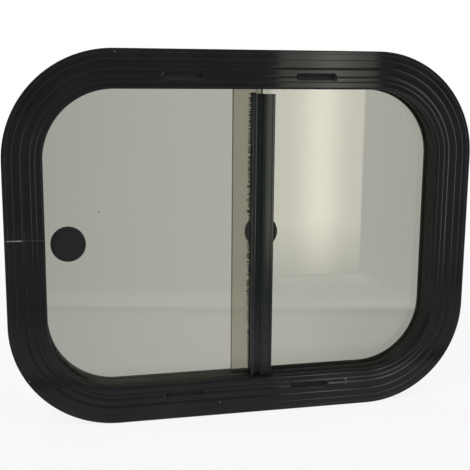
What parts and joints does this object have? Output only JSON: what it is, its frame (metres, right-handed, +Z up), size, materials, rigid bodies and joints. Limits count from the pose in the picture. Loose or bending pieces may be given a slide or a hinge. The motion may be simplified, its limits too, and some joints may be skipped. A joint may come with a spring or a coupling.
{
  "type": "sliding caravan window",
  "caption": "Caravan window with a rounded black aluminium frame, tinted glass panes that slide sideways in lined tracks, a meeting stile and round finger discs.",
  "frame": {"origin": "the window's centre on the plane of the vehicle's skin, where the back of the frame's flange rests", "axes": "+X to the right seen from outside, +Y into the vehicle, +Z up"},
  "size_m": [0.45, 0.0327, 0.35],
  "materials": {
    "frame_coat": "satin black coat",
    "stile_coat": "satin black coat",
    "flocked_rubber": "flocked",
    "gasket_rubber": "matte",
    "pile": "short woven pile",
    "tinted_glass": "clear, grey tint",
    "disc_plastic": "fine matte"
  },
  "bodies": {
    "frame": {"outer_frame": "frame_coat", "front_track_liner_upper": "flocked_rubber", "front_track_liner_lower": "flocked_rubber", "rear_track_liner_upper": "flocked_rubber", "rear_track_liner_lower": "flocked_rubber"},
    "left_sash": {"left_pane": "tinted_glass", "meeting_stile": "stile_coat", "stile_gasket": "gasket_rubber", "stile_brush": "pile", "left_outer_disc": "disc_plastic", "left_inner_disc": "disc_plastic", "left_disc_spindle": "disc_plastic"},
    "right_sash": {"right_pane": "tinted_glass", "right_outer_disc": "disc_plastic", "right_inner_disc": "disc_plastic", "right_disc_spindle": "disc_plastic"}
  },
  "joints": [
    {"name": "left_sash_slide", "type": "slide", "parent": "frame", "child": "left_sash", "axis": [1, 0, 0], "range_m": [0, 0.105]},
    {"name": "right_sash_slide", "type": "slide", "parent": "frame", "child": "right_sash", "axis": [-1, 0, 0], "range_m": [0, 0.12]}
  ]
}
